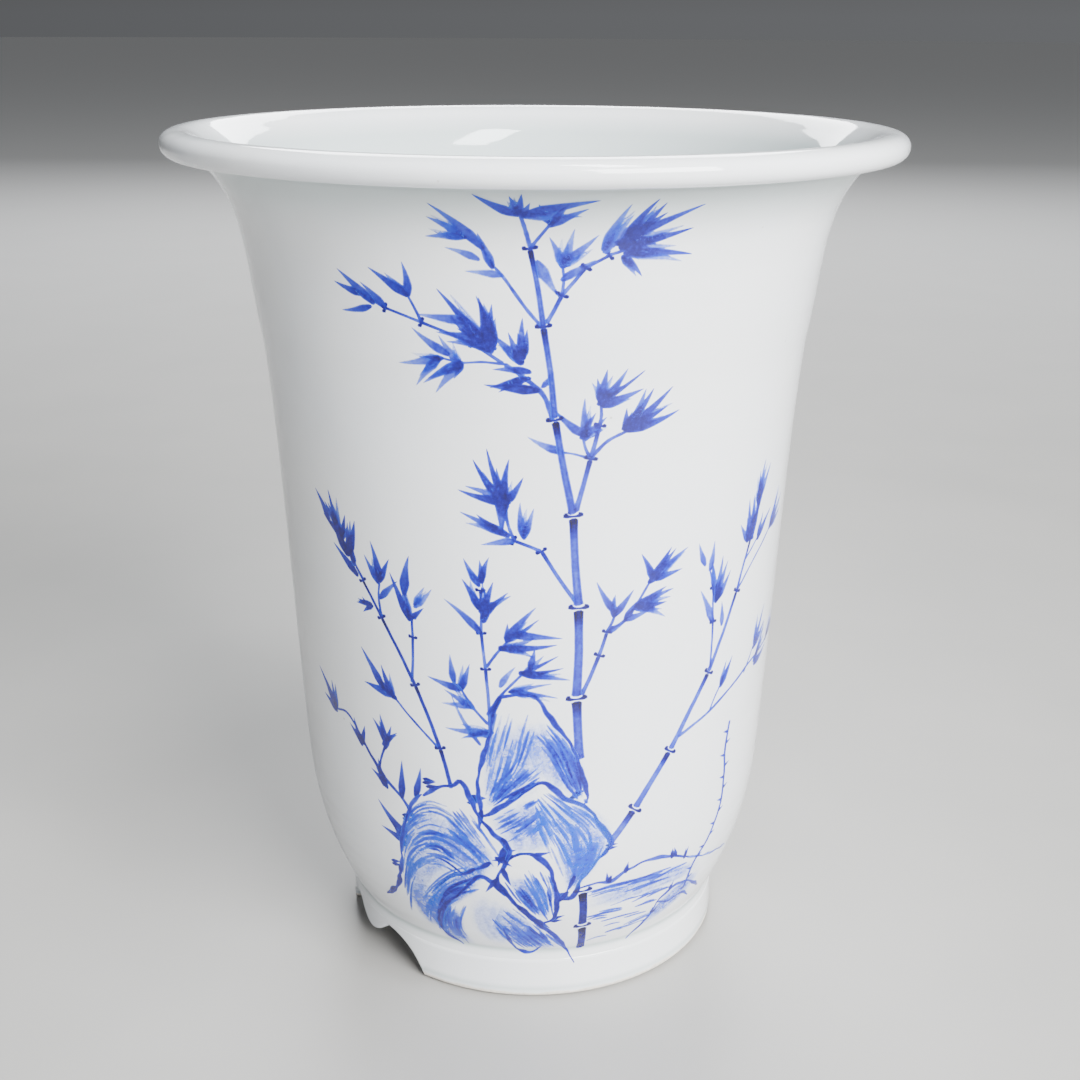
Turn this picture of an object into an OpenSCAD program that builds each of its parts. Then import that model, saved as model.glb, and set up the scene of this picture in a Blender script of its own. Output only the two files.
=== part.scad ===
// Porcelain pot with a waisted body, a flared mouth with a rolled lip, and a tall
// foot ring cut by two bracket-shaped notches. It stands on z = 0, axis along +Z,
// with the front at -Y.
//
// The glazed outline runs up the foot, up the wall, round the lip and down the
// inside as one path, with the clay always on its left. The clay's own surface is
// that path moved in by the thickness of the glaze, so glaze and clay meet exactly.

/* [Body] */
// Overall height
pot_h = 260; // [252:1:275]
// Thickness of the wall, glaze included
wall_t = 4.9; // [3.6:0.1:6]
// Thickness of the glaze coat
glaze_t = 0.4; // [0.2:0.05:0.6]
// Depth of the keyed joint between lip and wall
lip_key = 1.6; // [0.8:0.1:2.5]

/* [Foot] */
// Height of the foot ring
foot_h = 17; // [14:0.5:19]
// Outer radius of the foot at the standing edge, glaze included
foot_r = 61.9; // [61.6:0.1:63]
// Inner radius of the foot ring at its top
foot_inner_r = 55.2; // [53:0.1:56]
// Unglazed height above the standing edge
bare_h = 2; // [1.5:0.1:4]
// Bevel of the standing edge
edge_bevel = 1.2; // [0.5:0.1:1.6]

/* [Notches] */
// Number of notches, spread evenly round the foot
notch_count = 2; // [1:1:4]
// Angle of the first notch's centre from the front, towards the right
notch_at = -59.5; // [-180:0.5:180]
// Half the width of a notch
notch_half_w = 26.6; // [20:0.1:28]
// Height of the two lobes of a notch
notch_h = 11; // [9:0.5:12]
// Height of the point that hangs in the middle
notch_point_h = 5.1; // [4:0.1:7]

/* [Floor] */
// Thickness of the floor
floor_t = 6; // [5:0.5:8]
// Radius of the drain hole
drain_r = 10; // [6:0.5:14]
// Radius of the floor where it drops into the wall
floor_r = 57.5; // [56.5:0.1:57.8]
// Radius of the step under the floor's edge
floor_step_r = 54.5; // [52:0.1:55]
// Thickness of the ledge that carries the floor's edge
ledge_t = 2; // [1.5:0.1:3]

/* [Colours] */
// Glazed surface
glaze_colour = "aliceblue";
// Unglazed clay
clay_colour = "linen";

/* [Hidden] */
$fn = 96;
lip_h = 7.7;             // height of the rolled lip above the top of the flare
lip_low = pot_h - lip_h; // top of the flare, where the lip begins
floor_top = foot_h + floor_t;
foot_top_r = 61.6;       // radius where foot and wall meet, glaze included
key_in = 58.2;           // inner and outer radius of the tongue on the foot
key_out = 60;
key_h = 1.5;
corner_h = 4;            // height of the bevelled corner between wall and floor
notch_depth = 30;        // radial length of the cutter that makes a notch
curve_steps = 12;

// Cubic curve from a to d, pulled by b and c, with n steps.
function curve(a, b, c, d, n = curve_steps) = [
    for (i = [0:n]) let (t = i / n, s = 1 - t)
        s * s * s * a + 3 * s * s * t * b + 3 * s * t * t * c + t * t * t * d
];
// The list without its first point.
function rest(p) = [for (i = [1:len(p) - 1]) p[i]];
function reversed(p) = [for (i = [len(p) - 1:-1:0]) p[i]];
function from_to(p, a, b) = [for (i = [a:b]) p[i]];
// The path moved to its left by d, square to its own direction at each point.
function moved_left(p, d) = [
    for (i = [0:len(p) - 1])
        let (along = p[min(i + 1, len(p) - 1)] - p[max(i - 1, 0)], u = along / norm(along))
            p[i] + d * [-u[1], u[0]]
];
function mix(a, b, t) = a + (b - a) * t;

// Glazed outline of the outside, from the foot to the top of the flare.
wall_out = concat(
    curve([foot_top_r, foot_h], [66.8, 26], [71.8, 40], [73.5, 53.5]),
    rest(curve([73.5, 53.5], [76.5, 68.5], [78.9, 178.6], [83.3, pot_h - 56])),
    rest(curve([83.3, pot_h - 56], [86.6, pot_h - 36.5], [85.9, pot_h - 18.1], [98.8, lip_low]))
);
// Rolled lip: hollow below, round outside, and over the crest to the flare inside.
lip_under = curve([98.8, lip_low], [100.4, lip_low + 1.3], [102.4, lip_low + 0.3],
                  [104.6, lip_low + 0.3], 6);
lip_round = curve([104.6, lip_low + 0.3], [109.3, lip_low + 0.3], [110.6, pot_h], [102.9, pot_h]);
lip_out = concat(rest(lip_under), rest(lip_round));
// Inside of the wall, from the lip down to the bevelled corner at the floor.
wall_in = reversed([for (p = moved_left(wall_out, wall_t)) if (p[1] > floor_top + corner_h) p]);
lip_in = curve([102.9, pot_h], [100.2, pot_h], [98.6, wall_in[0][1] + 2.6], wall_in[0], 6);

glazed = concat([[foot_r, bare_h]], wall_out, lip_out, rest(lip_in), rest(wall_in));
clay = moved_left(glazed, glaze_t);
// Places along the outline: start of the wall, end of the flare, crest, flare inside.
at_wall = 1;
at_flare = at_wall + len(wall_out) - 1;
at_crest = at_flare + len(lip_out);
at_inside = at_crest + len(lip_in) - 1;
at_corner = len(glazed) - 1;

// Ends of the keyed joint between wall and lip, and how far its tongue goes down.
joint_out = clay[at_flare];
joint_in = clay[at_inside];
joint_square = (joint_in - joint_out) / norm(joint_in - joint_out);
joint_down = lip_key * [-joint_square[1], joint_square[0]];
lip_joint = [
    joint_out,
    mix(joint_out, joint_in, 1 / 3),
    mix(joint_out, joint_in, 1 / 3) + joint_down,
    mix(joint_out, joint_in, 2 / 3) + joint_down,
    mix(joint_out, joint_in, 2 / 3),
    joint_in
];

// Outline of a notch seen from outside: two lobes and a hanging point.
half_notch = concat(
    [[notch_half_w, -1]],
    curve([notch_half_w, 0], [notch_half_w - 3.1, notch_h * 0.6],
          [notch_half_w - 8.1, notch_h], [10.5, notch_h], 8),
    rest(curve([10.5, notch_h], [7, notch_h * 0.75], [3.5, notch_point_h], [0, notch_point_h], 6))
);
notch_outline = concat(half_notch, [for (p = rest(reversed(half_notch))) [-p[0], p[1]]]);

module notches() {
    for (i = [0:notch_count - 1])
        rotate([0, 0, notch_at + i * 360 / notch_count])
            translate([0, -foot_inner_r + 10, 0])
                rotate([90, 0, 0])
                    linear_extrude(notch_depth)
                        polygon(notch_outline);
}

module foot_ring() {
    clay_r = foot_r - glaze_t;
    color(clay_colour)
        difference() {
            rotate_extrude()
                polygon([
                    [foot_inner_r + 0.8, edge_bevel],
                    [foot_inner_r + 0.8 + edge_bevel, 0],
                    [clay_r - edge_bevel, 0],
                    [clay_r, edge_bevel],
                    [clay_r, bare_h],
                    [foot_top_r - glaze_t, foot_h],
                    [key_out, foot_h],
                    [key_out, foot_h + key_h],
                    [key_in, foot_h + key_h],
                    [key_in, foot_h],
                    [foot_inner_r, foot_h]
                ]);
            notches();
        }
}

module pot_floor() {
    color(clay_colour)
        difference() {
            union() {
                translate([0, 0, foot_h + ledge_t])
                    cylinder(r = floor_r, h = floor_t - ledge_t);
                translate([0, 0, foot_h])
                    cylinder(r = floor_step_r, h = ledge_t);
            }
            translate([0, 0, foot_h - 1])
                cylinder(r = drain_r, h = floor_t + 2);
        }
}

module pot_wall() {
    color(clay_colour)
        rotate_extrude()
            polygon(concat(
                [[foot_top_r - glaze_t, foot_h]],
                from_to(clay, at_wall, at_flare - 1),
                lip_joint,
                from_to(clay, at_inside + 1, at_corner),
                [
                    [floor_r, floor_top],
                    [floor_r, foot_h + ledge_t],
                    [floor_step_r, foot_h + ledge_t],
                    [floor_step_r, foot_h],
                    [key_in, foot_h],
                    [key_in, foot_h + key_h],
                    [key_out, foot_h + key_h],
                    [key_out, foot_h]
                ]
            ));
}

module mouth_rim() {
    color(clay_colour)
        rotate_extrude()
            polygon(concat(from_to(clay, at_flare + 1, at_inside - 1), reversed(lip_joint)));
}

module outer_glaze() {
    color(glaze_colour)
        difference() {
            rotate_extrude()
                polygon(concat(
                    from_to(glazed, 0, at_crest),
                    reversed(from_to(clay, at_wall, at_crest)),
                    [[foot_top_r - glaze_t, foot_h], [foot_r - glaze_t, bare_h]]
                ));
            notches();
        }
}

module inner_glaze() {
    bare_drain_r = drain_r + 0.6;
    color(glaze_colour)
        rotate_extrude()
            polygon(concat(
                from_to(glazed, at_crest, at_corner),
                [
                    [floor_r, floor_top + glaze_t],
                    [bare_drain_r, floor_top + glaze_t],
                    [bare_drain_r, floor_top],
                    [floor_r, floor_top]
                ],
                reversed(from_to(clay, at_crest, at_corner))
            ));
}

foot_ring();
pot_floor();
pot_wall();
mouth_rim();
outer_glaze();
inner_glaze();
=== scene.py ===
"""Tall white porcelain pot with a rolled lip and a notched foot, painted under the glaze
with cobalt bamboo and rocks. Lengths are in millimetres until a mesh is made."""
import math
import random

import bpy
import numpy as np
from mathutils import Matrix, Vector


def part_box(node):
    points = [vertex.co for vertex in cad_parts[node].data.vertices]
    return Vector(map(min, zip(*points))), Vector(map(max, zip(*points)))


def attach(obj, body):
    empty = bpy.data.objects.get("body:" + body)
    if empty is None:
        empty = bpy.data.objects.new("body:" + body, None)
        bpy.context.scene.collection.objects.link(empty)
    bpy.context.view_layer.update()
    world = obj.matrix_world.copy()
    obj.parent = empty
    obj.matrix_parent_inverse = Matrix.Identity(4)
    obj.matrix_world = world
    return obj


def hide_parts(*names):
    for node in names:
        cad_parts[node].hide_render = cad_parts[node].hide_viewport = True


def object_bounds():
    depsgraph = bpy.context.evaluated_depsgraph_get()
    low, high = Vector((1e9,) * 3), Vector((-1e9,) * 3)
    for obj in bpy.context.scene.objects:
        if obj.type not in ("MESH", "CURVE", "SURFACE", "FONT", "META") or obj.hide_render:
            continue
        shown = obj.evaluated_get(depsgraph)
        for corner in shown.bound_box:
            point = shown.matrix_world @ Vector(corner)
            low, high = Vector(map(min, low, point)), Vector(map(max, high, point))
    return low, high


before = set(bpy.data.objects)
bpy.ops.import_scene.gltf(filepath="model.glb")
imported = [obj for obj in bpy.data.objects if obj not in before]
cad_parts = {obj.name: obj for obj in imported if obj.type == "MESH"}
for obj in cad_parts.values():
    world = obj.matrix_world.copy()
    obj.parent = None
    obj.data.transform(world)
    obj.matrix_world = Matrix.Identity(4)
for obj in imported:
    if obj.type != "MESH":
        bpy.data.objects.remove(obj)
cad_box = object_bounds()

MM = 0.001
random.seed(8)

# ---- sizes from the parts in model.glb
POT_H = cad_box[1].z / MM
FLOOR_LOW, FLOOR_TOP = (corner.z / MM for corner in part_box("pot_floor"))
FOOT_TOP = FLOOR_LOW
FOOT_R = 61.9  # radius of the foot on the ground, glazed
FOOT_TOP_R = 61.6  # radius where the foot meets the wall
FOOT_INNER_R = 55.4
WALL_T = 4.9
GLAZE_T = 0.4
LIP_LOW = POT_H - 7.7
DRAIN_R = 10.6
SEAM_Z = 13.6  # where the foot piece meets the wall's coat
EDGE_ROUND = 1.3  # rounding of the foot's lower edges
BARE_TOP = 1.9  # the glaze stops this high on the foot
THICK_EDGE = 2.6  # and gathers in a line at this height
COLUMNS = 360  # points round each coat

# where the wall's curves meet, each a radius and a height
BELLY = (73.5, 53.5)
NECK = (83.3, POT_H - 56)
LIP_ROOT = (98.8, LIP_LOW)
LIP_UNDER = (104.6, LIP_LOW + 0.3)
LIP_TOP = (102.9, POT_H)
FLARE_IN_R = 97  # inside, where the flare turns down
WELL_R = 54  # inside, where the flat floor begins

NOTCHES = (-59.5, 120.5)  # degrees from the front, towards the right
NOTCH_HALF_W = 26.6
NOTCH_H = 11.0
NOTCH_FLANK = 10.5  # distance from the centre to the full height
NOTCH_POINT_H = 5.1
NOTCH_REACH = 27  # degrees each way that are cut finely


# ---- outlines
def curve(a, b, c, d, steps):
    """Cubic curve from a to d, pulled by b and c."""
    t = np.linspace(0, 1, steps + 1)[:, None]
    a, b, c, d = (np.array(p, float) for p in (a, b, c, d))
    s = 1 - t
    return s**3 * a + 3 * s * s * t * b + 3 * s * t * t * c + t**3 * d


def joined(*parts):
    return np.concatenate([parts[0]] + [p[1:] for p in parts[1:]])


def eased(path):
    """The path with its corners rounded a little."""
    path = path.copy()
    path[1:-1] = (path[:-2] + 2 * path[1:-1] + path[2:]) / 4
    return path


def moved_left(path, distance):
    along = np.gradient(path, axis=0)
    along /= np.linalg.norm(along, axis=1)[:, None]
    return path + distance * np.stack([-along[:, 1], along[:, 0]], 1)


def foot_radius(z):
    return FOOT_R + (FOOT_TOP_R - FOOT_R) * z / FOOT_TOP


foot_face = np.array([[foot_radius(z), z] for z in np.linspace(SEAM_Z, FOOT_TOP, 7)])
wall_line = joined(
    eased(joined(foot_face, curve((FOOT_TOP_R, 17), (66.8, 26), (71.8, 40), BELLY, 60))),
    curve(BELLY, (76.5, 68.5), (78.9, 178.6), NECK, 54),
    curve(NECK, (86.6, POT_H - 36.5), (85.9, POT_H - 18.1), LIP_ROOT, 46),
)
lip_line = joined(
    curve(LIP_ROOT, (100.4, LIP_LOW + 1.3), (102.4, LIP_LOW + 0.3), LIP_UNDER, 8),
    curve(LIP_UNDER, (109.3, LIP_LOW + 0.3), (110.6, POT_H), LIP_TOP, 30),
)
inner_wall = moved_left(wall_line, WALL_T)
inner_wall = inner_wall[inner_wall[:, 1] > FLOOR_TOP + 7][::-1]
flare_top = inner_wall[0]
outside_line = joined(wall_line, lip_line)
inside_line = joined(
    curve(LIP_TOP, (100.2, POT_H), (98.6, flare_top[1] + 2.6), flare_top, 16),
    inner_wall,
    curve(inner_wall[-1], (60.2, FLOOR_TOP + 3.4), (58.4, FLOOR_TOP + GLAZE_T),
          (WELL_R, FLOOR_TOP + GLAZE_T), 12),
    np.array([[r, FLOOR_TOP + GLAZE_T] for r in np.linspace(WELL_R, DRAIN_R, 12)]),
)


def notch_height(t):
    """Height of the foot's lower edge at t millimetres from a notch's centre."""
    outer = curve((NOTCH_HALF_W, 0), (NOTCH_HALF_W - 3.1, NOTCH_H * 0.6),
                  (NOTCH_HALF_W - 8.1, NOTCH_H), (NOTCH_FLANK, NOTCH_H), 40)
    flank = curve((NOTCH_FLANK, NOTCH_H), (7, NOTCH_H * 0.75), (3.5, NOTCH_POINT_H),
                  (0, NOTCH_POINT_H), 24)
    edge = joined(outer, flank)[::-1]
    return np.interp(np.abs(t), edge[:, 0], edge[:, 1], right=0.0)


# ---- the fired shape
def drift(angle, z):
    """How far the fired wall stands off a true circle: slow warping and faint turning rings."""
    warp = (0.05 + 0.10 * np.sin(2 * angle + 0.5 + 0.006 * z)
            + 0.04 * np.sin(3 * angle - 1.2 - 0.011 * z))
    rings = 0.022 * np.sin(z * 0.62 + 0.8 * np.sin(angle + 0.3)) + 0.012 * np.sin(z * 1.37 - angle)
    return (warp + rings) * np.clip(z / 25, 0, 1)


def on_pot(radius, z, angle):
    """Points, in millimetres, at a radius, a height and an angle from the front."""
    r = radius + drift(angle, z)
    return np.stack([r * np.sin(angle), -r * np.cos(angle), z + 0 * r], -1)


def swept(path, angles):
    return on_pot(path[:, 0][:, None], path[:, 1][:, None], angles[None, :])


def facing(points):
    """Unit normals of a grid of points whose columns go round the pot."""
    up = np.gradient(points, axis=0)
    around = np.roll(points, -1, axis=1) - np.roll(points, 1, axis=1)
    normal = np.cross(around, up)
    return normal / np.linalg.norm(normal, axis=-1)[..., None]


def new_piece(name, points, faces, material, normals):
    """A part of the pot as one mesh, from points in millimetres."""
    mesh = bpy.data.meshes.new(name)
    mesh.from_pydata((np.asarray(points) * MM).tolist(), [], faces)
    mesh.materials.append(material)
    mesh.shade_smooth()
    if normals is not None:
        mesh.normals_split_custom_set_from_vertices(normals.tolist())
    piece = bpy.data.objects.new(name, mesh)
    bpy.context.scene.collection.objects.link(piece)
    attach(piece, "root")
    return piece


def write_values(piece, name, values):
    layer = piece.data.attributes.new(name, "FLOAT", "POINT")
    layer.data.foreach_set("value", np.asarray(values, np.float32))


def ring_faces(rows, columns):
    """Faces of a closed tube: the rows close on themselves, and so do the columns."""
    faces = []
    for i in range(rows):
        a, b = i * columns, (i + 1) % rows * columns
        for j in range(columns):
            k = (j + 1) % columns
            faces.append((a + j, a + k, b + k, b + j))
    return faces


def coat(name, path, node, material, pooled_and_shaded):
    """A closed coat of glaze: the path is its face, and its back lies on the clay."""
    angles = np.linspace(0, 2 * math.pi, COLUMNS, endpoint=False)
    back = moved_left(path, GLAZE_T)
    back = np.concatenate([back[:1], back[3:-3:4], back[-1:]])[::-1]
    face_points = swept(path, angles)
    points = np.concatenate([face_points, swept(back, angles)])
    normals = np.zeros_like(points)
    normals[:len(path)] = facing(face_points)
    piece = new_piece(name, points.reshape(-1, 3), ring_faces(len(points), len(angles)),
                      material, normals.reshape(-1, 3))
    # these values tint the glaze where it pools and also where shade is painted in
    tint_depth = np.repeat(pooled_and_shaded(np.concatenate([path, back])), len(angles))
    write_values(piece, "pool_and_shade", tint_depth)
    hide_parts(node)


def bump_at(value, centre, width):
    return np.exp(-((value - centre) / width) ** 2)


def outside_pool_and_shade(path):
    """Where the outer glaze runs thick, with painted shade: pooled and shaded in the crease over
    the foot, and under the lip a thin pool above a broad band of painted shade.
    """
    r, z = path[:, 0], path[:, 1]
    # painted shade: a broad darker band under the lip's overhang, over a narrow pool of glaze
    under_lip_pool_and_shade = 0.8 * bump_at(z, LIP_LOW + 0.4, 1.2) + 0.8 * bump_at(z, LIP_LOW - 2, 8)
    return bump_at(z, FOOT_TOP, 1.1) + under_lip_pool_and_shade * (r < LIP_UNDER[0] + 0.4)


def inside_pool_and_shade(path):
    """Pooled glaze with painted shade round the floor's edge, and painted shade all down the inside
    from the flare.
    """
    r, z = path[:, 0], path[:, 1]
    # painted shade: the whole inside below the flare is tinted darker
    return bump_at(z, FLOOR_TOP, 4.0) + 0.85 * np.clip((FLARE_IN_R - r) / 6, 0, 1)


def foot_piece(material):
    """The foot ring, its lower edge following the notches, with every edge rounded."""
    around = [math.radians(a) for a in np.arange(-180, 180, 1.5)]
    close = [math.radians(n + a) for n in NOTCHES
             for a in np.arange(-NOTCH_REACH, NOTCH_REACH + 0.01, 0.25)]
    close = [(a + math.pi) % (2 * math.pi) - math.pi for a in close]
    far = [a for a in around
           if all(abs((math.degrees(a) - n + 180) % 360 - 180) > NOTCH_REACH + 0.5
                  for n in NOTCHES)]
    angles = np.array(sorted(far + close))
    low = np.zeros_like(angles)
    for n in NOTCHES:
        turn = (angles - math.radians(n) + math.pi) % (2 * math.pi) - math.pi
        here = np.abs(turn) < math.radians(40)
        low = np.where(here, np.maximum(low, notch_height(FOOT_R * np.sin(turn))), low)
    rows = []
    edge = EDGE_ROUND
    for s in np.linspace(0, 1, 9):
        z = SEAM_Z + (low + edge - SEAM_Z) * s
        rows.append((foot_radius(z), z))
    for s in np.linspace(0, math.pi / 2, 6)[1:]:
        rows.append((foot_radius(low) - edge + edge * math.cos(s), low + edge - edge * math.sin(s)))
    inner_low = FOOT_INNER_R + 0.6
    rows.append((0 * low + (FOOT_R + inner_low) / 2, low))
    for s in np.linspace(0, math.pi / 2, 6):
        rows.append((inner_low + edge - edge * math.sin(s), low + edge - edge * math.cos(s)))
    for s in np.linspace(0, 1, 6)[1:]:
        z = low + edge + (FOOT_TOP - low - edge) * s
        rows.append((FOOT_INNER_R + 0.6 * (1 - z / FOOT_TOP), z))
    rows.append((FOOT_TOP_R - 1.2 + 0 * low, FOOT_TOP + 0 * low))
    rows.append((FOOT_TOP_R - 0.9 + 0 * low, SEAM_Z + 0.4 + 0 * low))
    rows.reverse()
    points = np.stack([on_pot(r, z, angles) for r, z in rows])
    piece = new_piece("notched_foot", points.reshape(-1, 3), ring_faces(len(rows), len(angles)),
                      material, None)
    radius = np.concatenate([r + 0 * low for r, z in rows])
    z = np.concatenate([z for r, z in rows])
    bare = np.clip((BARE_TOP - z) / 0.9, 0, 1)
    bare = bare + np.clip((FOOT_INNER_R + 1.4 - radius) / 0.8, 0, 1)
    write_values(piece, "bare", np.clip(bare, 0, 1))
    write_values(piece, "pool_and_shade", 0.8 * bump_at(z, THICK_EDGE, 0.6) * (radius > FOOT_R - 2))
    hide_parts("foot_ring")


# ---- material building
INK_DEPTH = 1.7
INK_RATES = (3.0, 2.5, 0.56)  # how fast red, green and blue light die away
GLAZE_COOL = (0.785, 0.815, 0.855)
GLAZE_WARM = (0.815, 0.832, 0.850)
# the colour of pooled glaze, also laid on as painted shade
GLAZE_POOLED_AND_SHADED = (0.50, 0.57, 0.58)
SPECK_COLOUR = (0.20, 0.16, 0.12)
GLAZE_IOR = 1.52


class Nodes:
    """A few short ways to add and join shader nodes in one tree."""

    def __init__(self, tree):
        self.tree = tree

    def add(self, kind, **settings):
        node = self.tree.nodes.new(kind)
        for key, value in settings.items():
            setattr(node, key, value)
        return node

    def join(self, source, target):
        self.tree.links.new(source, target)

    def place(self):
        return self.add("ShaderNodeTexCoord").outputs["Object"]

    def maths(self, operation, first, second, third=None, clamp=False):
        node = self.add("ShaderNodeMath", operation=operation, use_clamp=clamp)
        for socket, value in zip(node.inputs, (first, second, third)):
            if value is None:
                continue
            if isinstance(value, (int, float)):
                socket.default_value = value
            else:
                self.join(value, socket)
        return node.outputs[0]

    def noise(self, place, size_mm, detail, rough=0.5, warp=0.0):
        node = self.add("ShaderNodeTexNoise")
        node.inputs["Scale"].default_value = 1 / (size_mm * MM)
        node.inputs["Detail"].default_value = detail
        node.inputs["Roughness"].default_value = rough
        node.inputs["Distortion"].default_value = warp
        self.join(place, node.inputs["Vector"])
        return node.outputs["Fac"]

    def spots(self, place, size_mm):
        """Distance from the nearest of some scattered spots, about a size apart."""
        node = self.add("ShaderNodeTexVoronoi")
        node.inputs["Scale"].default_value = 1 / (size_mm * MM)
        self.join(place, node.inputs["Vector"])
        return node.outputs["Distance"]

    def bump(self, height, depth_mm):
        node = self.add("ShaderNodeBump")
        node.inputs["Distance"].default_value = depth_mm * MM
        self.join(height, node.inputs["Height"])
        return node.outputs["Normal"]

    def ramp(self, value, stops):
        node = self.add("ShaderNodeValToRGB")
        marks = node.color_ramp.elements
        while len(marks) < len(stops):
            marks.new(0.5)
        for mark, (at, colour) in zip(marks, stops):
            mark.position = at
            mark.color = (*colour, 1)
        self.join(value, node.inputs["Fac"])
        return node.outputs["Color"]

    def blend(self, share, first, second, mode="MIX"):
        node = self.add("ShaderNodeMix", data_type="RGBA", blend_type=mode)
        sockets = (node.inputs[k] for k in (0, 6, 7))  # the factor and the two colours
        for socket, value in zip(sockets, (share, first, second)):
            if isinstance(value, (int, float)):
                socket.default_value = value
            elif isinstance(value, tuple):
                socket.default_value = (*value, 1)
            else:
                self.join(value, socket)
        return node.outputs[2]


def new_group(name, inputs, outputs):
    """An empty node group, with inputs {name: default} and outputs {name: socket kind}."""
    tree = bpy.data.node_groups.new(name, "ShaderNodeTree")
    for label, default in inputs.items():
        socket = tree.interface.new_socket(label, in_out="INPUT", socket_type="NodeSocketFloat")
        socket.default_value = default
    for label, kind in outputs.items():
        tree.interface.new_socket(label, in_out="OUTPUT", socket_type=kind)
    nodes = Nodes(tree)
    return tree, nodes, nodes.add("NodeGroupInput"), nodes.add("NodeGroupOutput")


def fired_surface_group():
    """How light glaze sets: slow waves, a fine orange peel and a few pinholes."""
    tree, n, given, out = new_group(
        "fired_surface", {"Waves": 1.0, "Peel": 1.0},
        {"Normal": "NodeSocketVector", "Roughness": "NodeSocketFloat", "Tone": "NodeSocketFloat",
         "Specks": "NodeSocketFloat"})
    place = n.place()
    waves = n.noise(place, 34, 1.0, 0.4)
    swell = n.noise(place, 11, 1.0, 0.4)
    peel = n.noise(place, 1.7, 2.0, 0.5)
    height = n.maths("MULTIPLY", waves, given.outputs["Waves"])
    height = n.maths("MULTIPLY_ADD", swell, 0.22, height)
    peel_height = n.maths("MULTIPLY", peel, given.outputs["Peel"])
    height = n.maths("MULTIPLY_ADD", peel_height, 0.007, height)
    pin = n.maths("LESS_THAN", n.spots(place, 15), 0.016)
    height = n.maths("MULTIPLY_ADD", pin, -0.05, height)
    n.join(n.bump(height, 0.5), out.inputs["Normal"])
    patches = n.noise(place, 24, 3.0, 0.55)
    n.join(n.maths("MULTIPLY_ADD", patches, 0.05, 0.035), out.inputs["Roughness"])
    n.join(n.noise(place, 42, 3.0, 0.5), out.inputs["Tone"])
    speck = n.maths("MULTIPLY_ADD", n.spots(place, 19), -60, 1.5, clamp=True)
    n.join(speck, out.inputs["Specks"])
    return tree


def cobalt_group():
    """Cobalt under glaze: each colour of light dies away at its own rate through the wash."""
    tree, n, given, out = new_group(
        "cobalt_wash", {"Ink": 1.0, "Mottle": 0.5},
        {"Colour": "NodeSocketColor", "Cover": "NodeSocketFloat"})
    place = n.place()
    grains = n.noise(place, 0.8, 3.0, 0.65)
    streaks = n.noise(place, 3.0, 3.0, 0.55, 0.8)
    uneven = n.maths("ADD", n.maths("SUBTRACT", grains, 0.5), n.maths("SUBTRACT", streaks, 0.5))
    factor = n.maths("MULTIPLY_ADD", uneven, given.outputs["Mottle"], 1.0)
    factor = n.maths("MAXIMUM", factor, 0.2)
    tint_depth = n.maths("MULTIPLY", n.maths("MULTIPLY", given.outputs["Ink"], factor), INK_DEPTH)
    tint_depth = n.maths("MAXIMUM", tint_depth, 0.002)
    left = [n.maths("POWER", math.exp(-rate), tint_depth) for rate in INK_RATES]
    cover = n.maths("SUBTRACT", 1.0, left[0], clamp=True)
    n.join(cover, out.inputs["Cover"])
    mixed = n.add("ShaderNodeCombineColor")
    mixed.inputs[0].default_value = 0.003
    for channel in (1, 2):
        share = n.maths("DIVIDE", n.maths("SUBTRACT", left[channel], left[0]), cover)
        n.join(n.maths("MULTIPLY", share, 0.82), mixed.inputs[channel])
    n.join(mixed.outputs[0], out.inputs["Colour"])
    return tree


def new_material(name):
    material = bpy.data.materials.new(name)
    material.use_nodes = True
    nodes = Nodes(material.node_tree)
    shader = material.node_tree.nodes["Principled BSDF"]
    return material, nodes, shader


def placed(nodes, tree, **values):
    node = nodes.add("ShaderNodeGroup")
    node.node_tree = tree
    for label, value in values.items():
        node.inputs[label].default_value = value
    return node


def value_of(nodes, name):
    return nodes.add("ShaderNodeAttribute", attribute_name=name).outputs["Fac"]


def glaze_colour(n, surface):
    """White glaze over white clay: greener and greyer where it pools and where shade is painted in,
    with slight clouding.
    """
    clouded = n.ramp(surface.outputs["Tone"], [(0.3, GLAZE_COOL), (0.7, GLAZE_WARM)])
    # painted shade rides on the pooled tint
    pooled_and_shaded = n.blend(value_of(n, "pool_and_shade"), clouded, GLAZE_POOLED_AND_SHADED)
    return n.blend(n.maths("MULTIPLY", surface.outputs["Specks"], 0.5), pooled_and_shaded, SPECK_COLOUR)


def glazed(n, shader, surface, roughness):
    """What all glazed surfaces share: their gloss and the waves in it."""
    n.join(roughness, shader.inputs["Roughness"])
    n.join(surface.outputs["Normal"], shader.inputs["Normal"])
    shader.inputs["IOR"].default_value = GLAZE_IOR


def white_glaze(surface_tree):
    material, n, shader = new_material("white_glaze")
    surface = placed(n, surface_tree)
    n.join(glaze_colour(n, surface), shader.inputs["Base Color"])
    glazed(n, shader, surface, surface.outputs["Roughness"])
    return material


def foot_finish(surface_tree):
    """Glaze down to just above the standing edge, where the bare clay shows."""
    material, n, shader = new_material("glazed_foot_with_bare_edge")
    surface = placed(n, surface_tree)
    place = n.place()
    wander = n.maths("MULTIPLY", n.maths("SUBTRACT", n.noise(place, 5, 2.0), 0.5), 0.9)
    bare = n.maths("ADD", value_of(n, "bare"), wander)
    bare = n.maths("MULTIPLY_ADD", bare, 4.0, -1.5, clamp=True)
    clay = n.ramp(n.noise(place, 1.2, 4.0, 0.6),
                  [(0.3, (0.60, 0.56, 0.50)), (0.7, (0.74, 0.71, 0.66))])
    n.join(n.blend(bare, glaze_colour(n, surface), clay), shader.inputs["Base Color"])
    glazed(n, shader, surface, n.maths("MULTIPLY_ADD", bare, 0.72, surface.outputs["Roughness"]))
    return material


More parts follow.
